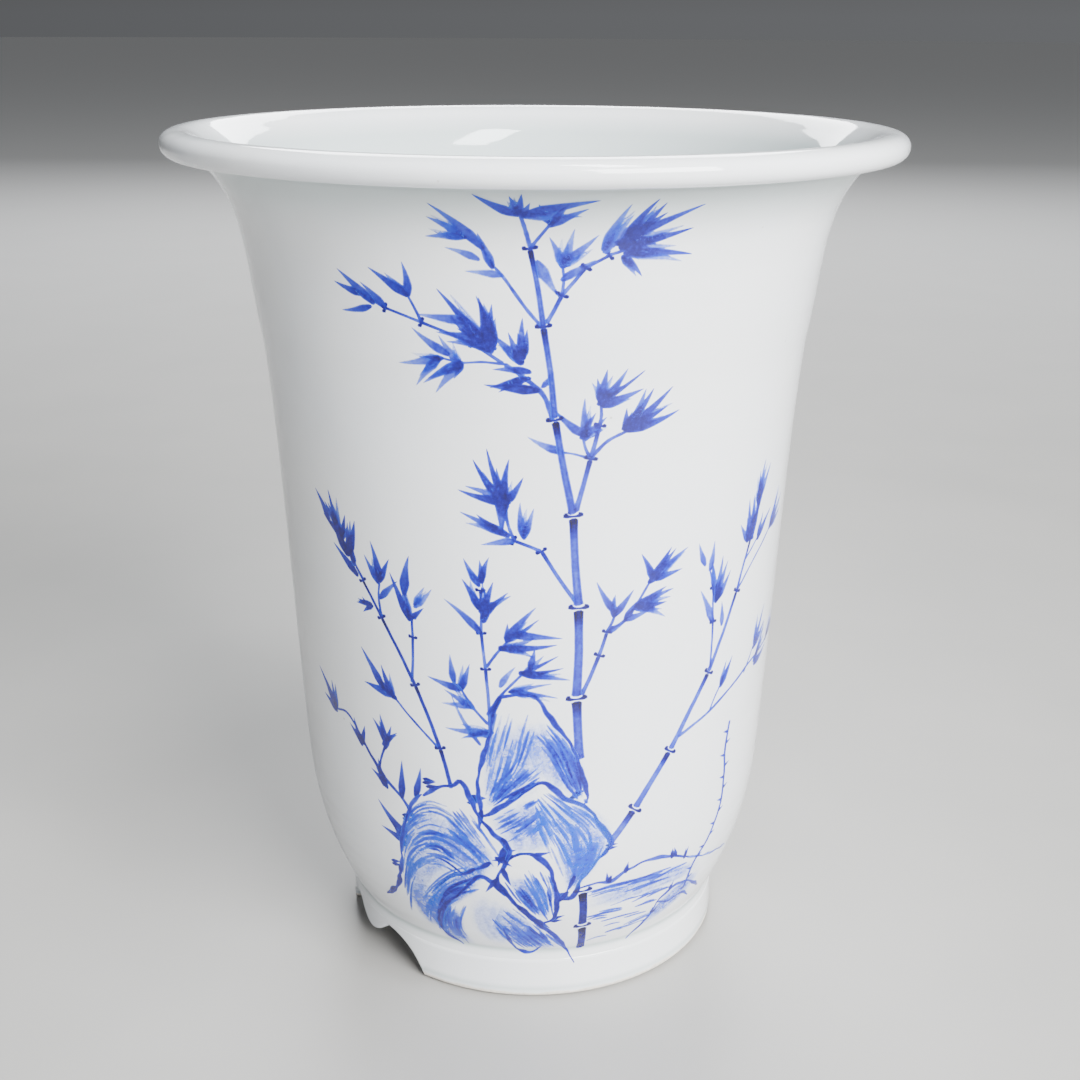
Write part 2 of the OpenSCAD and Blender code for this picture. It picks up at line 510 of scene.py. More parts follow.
def bare_clay():
    material, n, shader = new_material("bare_clay")
    place = n.place()
    grain = n.noise(place, 0.8, 4.0, 0.65)
    clouds = n.noise(place, 14, 3.0, 0.55)
    clay = n.ramp(clouds, [(0.3, (0.62, 0.58, 0.52)), (0.7, (0.74, 0.71, 0.66))])
    clay = n.blend(n.maths("MULTIPLY", grain, 0.35), clay, (0.50, 0.45, 0.38))
    n.join(clay, shader.inputs["Base Color"])
    n.join(n.maths("MULTIPLY_ADD", grain, 0.2, 0.68), shader.inputs["Roughness"])
    n.join(n.bump(grain, 0.12), shader.inputs["Normal"])
    return material


def cobalt(surface_tree, wash_tree, name, mottle):
    material, n, shader = new_material(name)
    surface = placed(n, surface_tree)
    blue = placed(n, wash_tree, Mottle=mottle)
    n.join(value_of(n, "ink"), blue.inputs["Ink"])
    n.join(blue.outputs["Colour"], shader.inputs["Base Color"])
    n.join(blue.outputs["Cover"], shader.inputs["Alpha"])
    glazed(n, shader, surface, surface.outputs["Roughness"])
    material.use_transparent_shadow = True
    return material


# ---- brushwork
# The wall is painted as a flat sheet: x is the distance round from the front, measured at
# PAINT_R, and y is the height. A heading of 0 points right and 90 points up.
PAINT_R = 76.0
LIFT = 0.030  # how far the first stroke stands off the glaze
LIFT_STEP = 0.0009  # and each later one, so that no two lie in one plane
LIFT_TURN = 110  # strokes before the steps start again
SOFT_EDGE = 0.52  # width over which a stroke's edge bleeds out
SHEET_LEFT = 110  # how far the sheet reaches to the left of the front
SHEET_STEP = 0.2  # side of the squares in which laid ink is remembered
SHEET_FILL = 1.3  # points laid for each of those squares
THROUGH = 0.8  # how much of the ink below shows through a full stroke,
THIN_INK = 0.3  # and the ink at which a stroke counts as full
DEEPEST = 1.75  # ink where many strokes cross
GUIDE_POINTS = 40  # places on each of the two lines that guide a rock's texture
WASH_FADE = 0.3  # share of a wash over which each of its borders thins out

strokes_laid = 0
laid_ink = np.zeros((1300, 1200))  # by height and by distance round


def sheet_index(places):
    row = (places[..., 1] / SHEET_STEP).astype(int)
    column = ((places[..., 0] + SHEET_LEFT) / SHEET_STEP).astype(int)
    rows, columns = laid_ink.shape
    return np.clip(row, 0, rows - 1), np.clip(column, 0, columns - 1)


def lay_ink(places, ink):
    """Adds a stroke's ink to the sheet, filled in between its rows and columns."""
    rows, columns = ink.shape
    reach = np.ptp(places.reshape(-1, 2), axis=0).max()
    fine_rows = max(rows, int(reach / SHEET_STEP * SHEET_FILL))
    wide = np.linalg.norm(places[:, 0] - places[:, -1], axis=-1).max()
    fine_columns = max(columns, int(wide / SHEET_STEP * SHEET_FILL))
    u, v = np.linspace(0, rows - 1, fine_rows), np.linspace(0, columns - 1, fine_columns)
    i, j = np.minimum(u.astype(int), rows - 2), np.minimum(v.astype(int), columns - 2)
    a, b = (u - i)[:, None], (v - j)[None, :]

    def fill(grid):
        if grid.ndim == 3:
            return np.stack([fill(grid[..., k]) for k in range(grid.shape[2])], -1)
        low = grid[i][:, j] * (1 - b) + grid[i][:, j + 1] * b
        high = grid[i + 1][:, j] * (1 - b) + grid[i + 1][:, j + 1] * b
        return low * (1 - a) + high * a

    row, column = sheet_index(fill(places))
    top, start = row.min(), column.min()
    patch = np.zeros((row.max() - top + 1, column.max() - start + 1))
    np.maximum.at(patch, (row - top, column - start), fill(ink))
    laid_ink[top:row.max() + 1, start:column.max() + 1] += patch


class Painting:
    """Strokes gathered into one named piece."""

    def __init__(self, name):
        self.name = name
        self.places, self.lifts, self.ink, self.faces = [], [], [], []

    def sheet(self, places, ink):
        """Adds a grid of painted points: places is rows by columns by 2, ink is rows by columns."""
        global strokes_laid
        strokes_laid += 1
        rows, columns = ink.shape
        below = laid_ink[sheet_index(places)]
        lay_ink(places, ink)
        through = below * (1 - (1 - THROUGH) * np.clip(ink / THIN_INK, 0, 1))
        ink = np.maximum(ink, np.minimum(ink + through, DEEPEST))
        start = sum(len(p) for p in self.places)
        self.places.append(places.reshape(-1, 2))
        self.lifts.append(np.full(rows * columns, LIFT + LIFT_STEP * (strokes_laid % LIFT_TURN)))
        self.ink.append(ink.reshape(-1))
        for i in range(rows - 1):
            for j in range(columns - 1):
                a = start + i * columns + j
                self.faces.append((a, a + 1, a + columns + 1, a + columns))

    def finish(self, material):
        places = np.concatenate(self.places)
        lifts = np.concatenate(self.lifts)
        angle = places[:, 0] / PAINT_R
        z = places[:, 1]

        def wall(angle, z, lift):
            return on_pot(np.interp(z, wall_line[:, 1], wall_line[:, 0]) + lift, z, angle)

        small = 0.02
        around = wall(angle + small, z, 0) - wall(angle - small, z, 0)
        up = wall(angle, z + 0.6, 0) - wall(angle, z - 0.6, 0)
        normals = np.cross(around, up)
        normals /= np.linalg.norm(normals, axis=1)[:, None]
        points = wall(angle, z, 0) + normals * lifts[:, None]
        piece = new_piece(self.name, points, outward(self.faces, points, normals), material,
                          normals)
        write_values(piece, "ink", np.concatenate(self.ink))
        piece.visible_shadow = False


# The kinds of brushwork, in the order in which they are made, with how mottled each is.
MOTTLE = {
    "rock_washes": 2.4, "rock_texture": 1.8, "rock_lines": 1.3, "ground": 1.5, "stems": 1.3,
    "joints": 0.6, "twigs": 1.2, "pale_leaves": 1.5, "dark_leaves": 1.3, "moss": 0.8}
layers = {kind: Painting("cobalt_" + kind) for kind in MOTTLE}
washes, texture, lines, ground, stems, joints, twigs, pale, dark, moss = layers.values()


def outward(faces, points, normals):
    """The faces, each turned so that it faces away from the wall."""
    turned = []
    for face in faces:
        a, b, c, d = (points[k] for k in face)
        if np.dot(np.cross(c - a, d - b), normals[face[0]]) < 0:
            face = face[::-1]
        turned.append(face)
    return turned


def flowing(points, spacing):
    """A smooth line through given points, sampled evenly."""
    p = np.array(points, float)
    if len(p) == 2:
        line = p[0] + (p[1] - p[0]) * np.linspace(0, 1, 9)[:, None]
    else:
        p = np.concatenate([[2 * p[0] - p[1]], p, [2 * p[-1] - p[-2]]])
        t = np.linspace(0, 1, 12, endpoint=False)[:, None]
        spans = []
        for a, b, c, d in zip(p, p[1:], p[2:], p[3:]):
            spans.append(0.5 * (2 * b + (c - a) * t + (2 * a - 5 * b + 4 * c - d) * t**2
                                + (3 * b - a - 3 * c + d) * t**3))
        line = np.concatenate(spans + [p[-2:-1]])
    run = np.concatenate([[0], np.cumsum(np.linalg.norm(np.diff(line, axis=0), axis=1))])
    count = max(4, int(run[-1] / spacing) + 1)
    at = np.linspace(0, run[-1], count)
    return np.stack([np.interp(at, run, line[:, k]) for k in (0, 1)], 1)


def stroke(painting, line, half_width, ink, middle):
    """One brush stroke along a line, with bleeding edges and a paler middle."""
    count = len(line)
    half_width = np.broadcast_to(np.asarray(half_width, float), (count,)) + SOFT_EDGE * 0.35
    ink = np.broadcast_to(np.asarray(ink, float), (count,))
    along = np.gradient(line, axis=0)
    along /= np.maximum(np.linalg.norm(along, axis=1), 1e-9)[:, None]
    line = np.concatenate([[line[0] - along[0] * SOFT_EDGE], line,
                           [line[-1] + along[-1] * SOFT_EDGE]])
    along = np.concatenate([along[:1], along, along[-1:]])
    half_width = np.concatenate([half_width[:1] * 0.5, half_width, half_width[-1:] * 0.5])
    ink = np.concatenate([[0], ink, [0]])
    side = np.stack([-along[:, 1], along[:, 0]], 1)
    edge = 1 - np.minimum(0.6, SOFT_EDGE / half_width)
    across = np.stack([-1 + 0 * edge, -edge, -0.45 * edge, 0.45 * edge, edge, 1 + 0 * edge], 1)
    tint_depth = np.array([0, 1.08, middle, middle, 1.08, 0])
    places = line[:, None, :] + side[:, None, :] * (across * half_width[:, None])[..., None]
    painting.sheet(places, ink[:, None] * tint_depth[None, :])


def leaf(painting, base, heading, length, ink, breadth=None, bow=None):
    """A bamboo leaf in one press and lift of the brush: full near the base, long thin tip."""
    breadth = 1.14 * (breadth or min(2.5, 0.95 + 0.14 * length))
    length *= 1.04
    bow = random.uniform(-0.35, 0.35) if bow is None else bow
    count = max(9, int(length / 0.8))
    t = np.linspace(0, 1, count)
    turn = math.radians(heading) + bow * (t - 0.35)
    step = length / (count - 1)
    line = np.stack([np.cos(turn), np.sin(turn)], 1) * step
    line = np.array(base, float) + np.concatenate([[[0, 0]], np.cumsum(line[:-1], axis=0)])
    press = np.minimum(1, 0.34 + 2.3 * t) * (1 - t) ** 0.9 * 1.22
    tone = ink * (1.45 - 1.0 * t) * random.uniform(0.85, 1.15)
    stroke(painting, line, breadth / 2 * press, tone, 0.9)


def leaves(painting, *specs):
    """Single leaves: each is (x, y, heading, length, ink), with a breadth and a bow at will."""
    for x, y, *rest in specs:
        leaf(painting, (x, y), *rest)


def tuft(painting, base, specs, ink, spread):
    """Leaves from one place: each is (heading, length) or (heading, length, breadth)."""
    for heading, length, *breadth in specs:
        foot = (base[0] + random.uniform(-2, 2) * spread, base[1] + random.uniform(-2, 2) * spread)
        leaf(painting, foot, heading, length, ink * random.uniform(0.9, 1.25), *breadth)
        if random.random() < 0.7:
            leaf(painting, foot, heading + random.uniform(-20, 20),
                 length * random.uniform(0.6, 0.95), ink * random.uniform(0.25, 0.55))


def twig(points, start, end, ink, painting=twigs):
    """A thin branch that narrows from its start width to its end width."""
    line = flowing(points, 1.0)
    t = np.linspace(0, 1, len(line))
    shake = 1 + 0.12 * np.sin(t * 23 + points[0][0])
    stroke(painting, line, (start + (end - start) * t) / 2 * shake,
           ink * (1 + 0.15 * np.sin(t * 9 + points[0][1])), 0.95)


def joint_mark(at, heading, width, ink):
    """The mark at a bamboo joint: a short bar across the stem with turned-up ends."""
    c, s = math.cos(math.radians(heading)), math.sin(math.radians(heading))
    half = max(1.0, 0.4 + width * 0.78)
    shape = [(-half, 0.20 * width), (-half * 0.7, 0), (0, -0.06 * width), (half * 0.7, 0),
             (half, 0.20 * width)]
    points = [(at[0] + u * s + v * c, at[1] - u * c + v * s) for u, v in shape]
    line = flowing(points, 0.25)
    t = np.abs(np.linspace(-1, 1, len(line)))
    stroke(joints, line, 0.16 + half * 0.27 * t**2, ink * (1.0 + 0.8 * t**2), 1.0)


def stem(painting, knots, ink, cap, middle=0.74):
    """A stem drawn joint by joint. Each knot is (x, y, width), from the ground up."""
    knots = [(x, y, width * 0.76) for x, y, width in knots]
    for low, high in zip(knots, knots[1:]):
        a, b = np.array(low[:2], float), np.array(high[:2], float)
        reach = np.linalg.norm(b - a)
        along = (b - a) / reach
        gap = 0.40 * (low[2] + high[2]) / 2 + 0.25
        a, b = a + along * gap, b - along * gap
        bow = np.array([-along[1], along[0]]) * 0.012 * reach * math.sin(a[1])
        line = flowing([a, (a + b) / 2 + bow, b], 0.9)
        t = np.linspace(0, 1, len(line))
        width = low[2] + (high[2] - low[2]) * t
        flare = 1 + 0.14 * np.exp(-t * 14) + 0.14 * np.exp(-(1 - t) * 14)
        top = np.exp(-(((1 - t) * reach) / 3.2) ** 2)
        tone = ink * (1.0 + 0.25 * np.exp(-t * 9)) + (1.3 * cap - ink) * top
        stroke(painting, line, width / 2 * flare, tone, middle)
        heading = math.degrees(math.atan2(along[1], along[0]))
        joint_mark(high[:2], heading, high[2] + 0.2, 1.6)


def outline(points, width, ink, painting=lines):
    """A rock's contour: a loaded brush that thickens and thins as it turns."""
    line = flowing(points, 0.8)
    run = np.arange(len(line)) * 0.8
    line = line + 0.12 * np.stack([np.sin(run * 1.3 + points[0][0]),
                                   np.sin(run * 0.9 + points[0][1])], 1)
    t = np.linspace(0, 1, len(line))
    swell = 0.50 + 0.80 * np.sin(t * 8 + points[0][0]) ** 2 + 0.12 * np.sin(t * 31)
    tone = ink * (0.9 + 0.3 * np.sin(t * 8 + points[0][1]) ** 2)
    taper = np.minimum(1, 0.3 + 8 * np.minimum(t, 1 - t))
    stroke(painting, line, 0.62 * width * swell * taper, tone, 0.9)


def evenly(points, count):
    """A smooth line through the points, as a fixed number of places."""
    line = flowing(points, 0.5)
    at = np.linspace(0, len(line) - 1, count)
    k = np.arange(len(line))
    return np.stack([np.interp(at, k, line[:, 0]), np.interp(at, k, line[:, 1])], 1)


def veins(first, second, count, ink, width, reach=(0.2, 0.6)):
    """Texture strokes that follow a rock's fall, each part of the way between two guide lines."""
    a, b = evenly(first, GUIDE_POINTS), evenly(second, GUIDE_POINTS)
    last = GUIDE_POINTS - 1
    for k in range(count):
        share = (k + random.uniform(-0.3, 1.3)) / count
        span = random.uniform(*reach)
        start = random.uniform(0, 1 - span)
        line = (a + (b - a) * share)[int(start * last):int((start + span) * last) + 2]
        line = line + np.array([random.uniform(-0.5, 0.5), random.uniform(-0.5, 0.5)])
        line = flowing(line[::4] if len(line) > 8 else line, 0.8)
        t = np.linspace(0, 1, len(line))
        press = np.sin(math.pi * np.clip(t, 0.02, 0.98) ** random.uniform(0.6, 1.3)) ** 0.6
        tone = 0.85 * ink * random.uniform(0.3, 1.3) * (0.5 + 0.5 * press)
        stroke(texture, line, 0.37 * width * random.uniform(0.5, 1.6) * press, tone, 1.0)


def wash(first, second, ink):
    """A pale wash laid between two lines, thin at its borders and uneven inside."""
    rows, columns = 30, 20
    a, b = evenly(first, rows), evenly(second, rows)
    share = np.linspace(0, 1, columns)
    places = a[:, None, :] + (b - a)[:, None, :] * share[None, :, None]
    t = np.linspace(0, 1, rows)
    border = np.minimum(1, np.minimum(t, 1 - t) / WASH_FADE)[:, None]
    border = border * np.minimum(1, np.minimum(share, 1 - share) / WASH_FADE)[None, :]
    border = border * border * (3 - 2 * border)
    streaks = 1 + 0.4 * np.sin(share * 25 + first[0][0])[None, :] * np.cos(t * 5)[:, None]
    washes.sheet(places, 0.9 * ink * border * streaks)


def moss_dabs(x, y, count):
    """A little pile of short level dabs, as moss or lichen is painted."""
    for k in range(count):
        leaf(moss, (x - 1.4 + random.uniform(-0.6, 0.6), y + 1.15 * k - 0.6 * count),
             8 + random.uniform(-12, 12), random.uniform(2.6, 4.0), 1.5, 1.25, 0.0)


def grass(x, y, count):
    """Short upright dabs along a bank."""
    for _ in range(count):
        leaf(moss, (x + random.uniform(-1.1, 1.1), y), random.uniform(65, 115),
             random.uniform(1.8, 3.6), 1.35, 1.2, 0.0)


# ---- the picture on the wall
def paint_main_bamboo():
    """The tall middle stalk, its side branches and their leaves."""
    stem(stems, [(18.6, 16, 3.6), (17.4, 28.5, 3.4), (16, 44, 3.3)], 1.9, 3.2, 0.9)
    stem(stems, [(13.4, 89.6, 3.3), (12, 110, 3.2), (12, 138, 2.9), (10, 165, 2.5), (5, 192, 2.0),
        (2, 217, 1.6), (-1, 237, 1.2)], 0.95, 2.9)
    twig([(-1, 237.6), (-2, 242), (-3, 246)], 0.9, 0.6, 0.8, stems)

    tuft(dark, (-3, 246), [(150, 9), (15, 14.5), (80, 4.5), (105, 4.5), (60, 3)], 0.85, 0.3)
    twig([(-1, 237), (1, 240), (3, 243)], 0.6, 0.45, 0.8)
    tuft(dark, (3, 243), [(30, 8), (60, 5.5), (115, 4.5)], 0.8, 0.3)

    stem(twigs, [(2.6, 217.6, 1.15), (6, 225, 1.0), (11, 232, 0.85), (16, 235, 0.7)], 0.7, 1.3)
    twig([(15.6, 235), (17.5, 235.6), (20, 236.6)], 0.6, 0.5, 0.8)
    tuft(dark, (19, 235), [(-2, 15), (-45, 6.5), (38, 9)], 1.15, 0.4)
    tuft(dark, (18, 237.5), [(65, 12.5), (54, 13), (28, 19), (13, 15.5), (42, 11)], 1.25, 0.5)
    tuft(pale, (15, 236), [(70, 11.5), (62, 10)], 0.5, 0.4)
    twig([(6, 225), (6.3, 229), (6, 232)], 0.6, 0.4, 0.6)
    tuft(pale, (6, 232), [(110, 7.5), (80, 9), (45, 10)], 0.55, 0.3)
    leaves(pale, (6, 229, 35, 8, 0.6), (0.4, 233.6, -62, 9.5, 0.6, 2.7, 0.1))

    twig([(2, 216.4), (-2, 221.8), (-7, 230), (-9, 232.5)], 0.75, 0.55, 0.7)
    twig([(-9, 232.5), (-10, 235), (-11, 237)], 0.6, 0.4, 0.7)
    leaves(dark, (-11, 237, 131, 14, 0.85))
    tuft(pale, (-15, 240), [(180, 8), (147, 7)], 0.55, 0.3)
    leaves(dark, (-9, 232, 108, 8.5, 0.8, 2.1))
    leaves(pale, (-12, 234, 157, 7, 0.6), (-7, 230, 173, 7.5, 0.55))

    twig([(4.4, 192.6), (2, 199), (-3, 204), (-6.6, 206.8)], 1.2, 0.95, 0.85)
    stem(twigs, [(-7, 207, 0.95), (-14, 212.2, 0.85), (-26, 217, 0.75), (-35, 220, 0.6)], 0.75, 1.2)
    twig([(-35, 220), (-38, 221.4), (-41, 223)], 0.55, 0.4, 0.7)
    leaves(dark, (1, 200, 175, 12, 1.3, 2.6), (-1, 205, 175, 8, 1.0))
    tuft(dark, (-3, 208), [(130, 10), (92, 10), (80, 7), (112, 8)], 1.05, 0.4)
    leaves(dark, (2, 201, 55, 4, 0.9))
    tuft(dark, (-1, 203), [(210, 7, 1.6), (196, 9, 1.8)], 1.0, 0.5)
    tuft(dark, (-10, 211), [(126, 18), (104, 12.5), (98, 12), (88, 11), (150, 9),
        (138, 12)], 1.2, 0.5)
    tuft(pale, (-10, 211), [(175, 10), (163, 8)], 0.6, 0.4)
    leaves(pale, (-15, 218, 175, 11.5, 0.6))
    leaves(dark, (-13, 213, 168, 9, 0.9))
    twig([(-7, 207), (-12, 207.4), (-17, 207), (-22, 208)], 0.5, 0.35, 0.65)
    tuft(pale, (-17, 207), [(124, 8), (211, 11), (228, 10), (240, 4)], 0.6, 0.3)
    tuft(pale, (-22, 208), [(195, 10), (229, 9.5), (180, 4)], 0.6, 0.3)
    leaves(pale, (-20, 209, 145, 10, 0.65))
    twig([(-26, 217), (-27.4, 220.5), (-29, 224)], 0.6, 0.4, 0.8)
    tuft(dark, (-29, 224), [(93, 8), (145, 10.5)], 0.95, 0.2)
    leaves(dark, (-35, 220, 133, 8, 0.95), (-38, 221, 139, 11.5, 1.0), (-41, 223, 163, 7.5, 0.9),
        (-39, 220, 195, 8, 0.95, 1.8))

    stem(twigs, [(10.6, 166, 1.7), (14, 181, 1.4), (16, 190, 1.1)], 0.8, 1.7)
    twig([(14, 181), (18, 185.5), (23, 188)], 0.9, 0.6, 0.8)
    twig([(16, 190), (16.3, 193), (16, 196)], 0.8, 0.5, 0.8)
    tuft(dark, (16, 196), [(80, 8, 2.4), (57, 10.5), (36, 13, 1.2), (22, 10), (100, 6)], 1.0, 0.4)
    tuft(dark, (23, 188), [(72, 11), (53, 12), (42, 15), (29, 11), (14, 14, 2.4),
        (90, 5.5)], 1.1, 0.5)
    twig([(14, 181), (12.6, 184), (12, 187)], 0.7, 0.5, 0.7)
    tuft(pale, (12, 187), [(95, 10.5, 2.2), (137, 9.5), (40, 7.5), (62, 6)], 0.85, 0.4)
    leaves(pale, (7, 183, 155, 9, 0.6))
    twig([(14, 181), (10, 182.4), (7, 183)], 0.5, 0.35, 0.6)

    stem(twigs, [(11.4, 139.4, 1.3), (2, 155, 1.1), (-5, 158, 0.9)], 0.8, 1.5)
    twig([(-5, 158), (-6.6, 163), (-7, 168)], 0.8, 0.5, 0.85)
    tuft(dark, (-7, 168), [(109, 16, 2), (125, 14), (85, 13), (170, 12.5), (58, 8),
        (97, 10)], 1.25, 0.5)
    tuft(dark, (-7, 160), [(153, 13), (143, 8)], 1.15, 0.4)
    leaves(pale, (-7, 160, 165, 10, 0.6))
    leaves(dark, (-7.8, 171.5, 268, 11, 1.4, 3.4, 0.1))
    leaves(pale, (-5, 158, 190, 8, 0.7))
    tuft(pale, (-2, 159), [(98, 9.5), (73, 8)], 0.75, 0.3)

    stem(twigs, [(13.4, 111, 1.4), (18, 123, 1.2), (20, 130, 1.0)], 0.8, 1.5)
    twig([(20, 130), (21.4, 133), (22, 135)], 0.8, 0.5, 0.8)
    tuft(dark, (22, 135), [(121, 10.5, 2), (90, 6), (54, 8)], 0.9, 0.3)
    twig([(20, 130), (25, 133), (28, 137), (32, 144)], 0.8, 0.5, 0.85)
    tuft(dark, (32, 144), [(113, 8.5), (58, 9.5), (37, 13.5), (8, 9), (48, 10)], 1.1, 0.4)
    leaves(dark, (25, 133, 55, 7, 1.2, 2.0))
    tuft(dark, (28, 137), [(18, 11), (32, 9), (2, 8)], 1.1, 0.4)
    tuft(pale, (28, 137), [(-28, 10), (-12, 8)], 0.6, 0.3)
    leaves(pale, (25, 133, 15, 7, 0.7), (20, 130, 27, 6, 0.7))


def paint_left_bamboo():
    """The thin stalks that rise to the left, behind the rocks."""
    stem(stems, [(-24, 79, 1.5), (-27, 92, 1.35), (-34, 111, 1.2), (-44, 130, 1.0),
        (-50, 140, 0.8)], 1.3, 2.3, 0.9)
    twig([(-50, 140.5), (-57, 151), (-62, 155)], 0.75, 0.45, 1.1, stems)
    leaves(dark, (-62, 155, 122, 9.5, 1.2))
    tuft(dark, (-57, 151), [(105, 14), (124, 11), (147, 9), (75, 7), (115, 10)], 1.3, 0.5)
    tuft(dark, (-55, 147), [(69, 11, 3), (119, 12), (90, 9)], 1.2, 0.4)
    leaves(dark, (-53, 144, 95, 6, 1.1, 2.2), (-52, 141, 139, 11, 1.2))
    tuft(dark, (-48, 133), [(190, 5), (165, 4), (215, 4), (140, 3)], 1.3, 0.5)
    twig([(-44, 130), (-44.6, 136), (-44, 141)], 0.7, 0.45, 0.8)
    tuft(dark, (-44, 141), [(102, 11), (65, 7.5), (120, 8)], 0.9, 0.3)
    leaves(pale, (-44, 136, 47, 8, 0.7))
    stem(twigs, [(-35, 111.5, 1.0), (-34, 126, 0.8), (-34, 132, 0.7)], 0.8, 1.4)
    twig([(-34, 132), (-35, 136), (-36, 139)], 0.6, 0.4, 0.8)
    leaves(dark, (-36, 139, 82, 11, 0.95, 3))
    tuft(dark, (-34, 132), [(113, 13.5, 2.4), (43, 5)], 0.95, 0.4)
    tuft(pale, (-33, 136), [(48, 7.5), (62, 6)], 0.5, 0.3)
    leaves(dark, (-45, 107, 123, 13, 0.95, 2.6))
    tuft(dark, (-41, 105), [(112, 9.5, 2.4), (170, 10, 2.6), (140, 9)], 0.9, 0.6)
    twig([(-27.5, 92), (-37, 101), (-41, 105), (-45, 107)], 0.6, 0.4, 0.85)

    twig([(-37, 66), (-41, 72), (-49, 79), (-60, 93), (-67, 93.5)], 1.1, 0.5, 1.15, stems)
    leaves(dark, (-41, 72, 86, 12, 1.1), (-36, 74, 76, 9.5, 1.0), (-40, 58, 137, 14, 1.3, 3.0))
    tuft(dark, (-47, 74), [(100, 8), (120, 9), (140, 7)], 1.1, 0.4)
    tuft(dark, (-46, 88), [(100, 9), (70, 8), (45, 7), (120, 8)], 1.15, 0.5)
    twig([(-46, 88), (-48, 83), (-49, 79)], 0.6, 0.5, 1.0)
    tuft(dark, (-55, 86), [(110, 8), (75, 6), (140, 7)], 1.1, 0.4)
    tuft(dark, (-67, 93), [(125, 13), (100, 8.5), (150, 7)], 1.15, 0.3)
    tuft(dark, (-42, 56), [(120, 8), (160, 9)], 1.1, 0.5)


def paint_middle_bamboo():
    """The short stalk that stands behind the tall rock."""
    stem(twigs, [(-12, 99, 1.1), (-13, 119, 1.0), (-14, 130, 0.85), (-14, 143, 0.6)], 0.7, 1.4)
    tuft(dark, (-14, 145), [(119, 8), (75, 7), (95, 6)], 0.85, 0.3)
    tuft(dark, (-14, 137), [(116, 9, 2.2), (71, 8), (33, 9)], 0.9, 0.4)
    leaves(dark, (-14, 130, 135, 13, 0.9, 2.2))
    tuft(dark, (-14, 134), [(50, 10, 2.0), (85, 9, 2.4)], 1.0, 0.4)
    twig([(-12.6, 120), (-10, 124), (-7, 128), (-6, 130)], 0.7, 0.5, 0.8)
    tuft(dark, (-7, 128), [(54, 12), (38, 10, 1.2), (88, 5)], 0.95, 0.4)
    leaves(dark, (-6, 130, -4, 13, 0.9), (-9, 126, 2, 14.5, 1.2, 2.4))
    tuft(pale, (-9, 126), [(20, 10), (-16, 9)], 0.6, 0.4)
    twig([(-12.6, 105), (-9, 111), (-3, 118), (-1, 120)], 0.7, 0.5, 0.8)
    tuft(dark, (-3, 118), [(-10, 13, 2.4), (30, 10, 1.2), (8, 10, 1.3)], 0.95, 0.4)
    leaves(dark, (-1, 120, 75, 5.5, 1.0, 2.0))
    leaves(pale, (-9, 114, 58, 7, 0.6))
    tuft(pale, (-6, 113), [(-8, 12, 1.6), (14, 11, 1.4)], 0.7, 0.4)
    twig([(-12.8, 102), (-17, 107), (-20, 112), (-22, 114)], 0.7, 0.45, 0.7)
    tuft(dark, (-20, 112), [(165, 9.5), (72, 8, 2.2)], 0.8, 0.3)
    leaves(pale, (-22, 114, 98, 8, 0.75))
    tuft(pale, (-17, 107), [(178, 8), (150, 9)], 0.6, 0.4)
    leaves(pale, (-15, 95, 121, 16, 0.5, 1.4))
    tuft(pale, (-12, 99), [(182, 12, 2.4), (196, 9, 1.8)], 0.6, 0.4)


def paint_right_bamboo():
    """The leaning stalk at the right, in thinner colour, and the sprays beyond it."""
    stem(stems, [(23, 60, 2.9), (31, 71, 2.7), (42, 88, 2.3), (55, 110, 1.9), (65, 133, 1.4),
        (70, 148, 1.0)], 0.75, 2.2)
    twig([(70, 148), (71.4, 155), (72, 162)], 0.7, 0.45, 0.6)
    tuft(pale, (70, 148), [(76, 15), (88, 13), (100, 12), (66, 12)], 0.75, 0.5)
    tuft(pale, (72, 158), [(80, 12), (96, 10), (62, 11)], 0.7, 0.4)
    tuft(pale, (68, 148), [(100, 7), (125, 7)], 0.7, 0.3)
    tuft(pale, (74, 147), [(75, 7), (48, 10)], 0.7, 0.3)
    twig([(65, 133), (73, 140.5), (83, 148)], 0.6, 0.4, 0.55)
    twig([(68, 142), (71, 144.5), (74, 147)], 0.5, 0.35, 0.5)
    tuft(pale, (83, 148), [(65, 12), (40, 11), (20, 9)], 0.55, 0.4)
    stem(twigs, [(55.4, 111, 0.9), (55, 126, 0.8), (54, 137, 0.65)], 0.65, 1.2)
    twig([(54, 137), (53, 140), (52, 143)], 0.5, 0.35, 0.6)
    leaves(pale, (55, 126, 117, 12, 0.7), (54, 137, 98, 8, 0.7), (50, 145, 113, 7, 0.6),
        (52, 143, 82, 8, 0.65))
    tuft(pale, (56, 133), [(84, 13), (75, 11), (55, 9)], 0.75, 0.4)
    leaves(pale, (59, 124, 95, 7, 0.65))
    twig([(45, 92), (50, 94), (56, 96.2), (63, 99.5), (71, 103), (78, 105.5),
        (95, 108)], 0.9, 0.5, 0.65)
    tuft(pale, (61, 104), [(59, 9), (75, 7)], 0.65, 0.3)
    twig([(57, 97), (59, 101), (61, 104)], 0.5, 0.4, 0.6)
    tuft(pale, (79, 110), [(60, 12), (35, 10), (84, 9)], 0.6, 0.4)
    tuft(pale, (81, 104), [(60, 12), (35, 10), (12, 11)], 0.6, 0.4)
    twig([(74, 103.4), (77, 107), (79, 110)], 0.5, 0.4, 0.6)
    tuft(pale, (93, 108), [(30, 12), (8, 12), (62, 9)], 0.55, 0.5)

    thorny = flowing([(68, 89), (67, 80), (68, 71), (68, 60), (64, 49), (59, 42), (58, 32)], 0.8)
    stroke(twigs, thorny, 0.46, 0.8, 1.0)
    for k, place in enumerate(thorny[4::5]):
        leaf(twigs, place, 20 if k % 2 else 165, 2.3, 0.9, 0.8, 0.0)


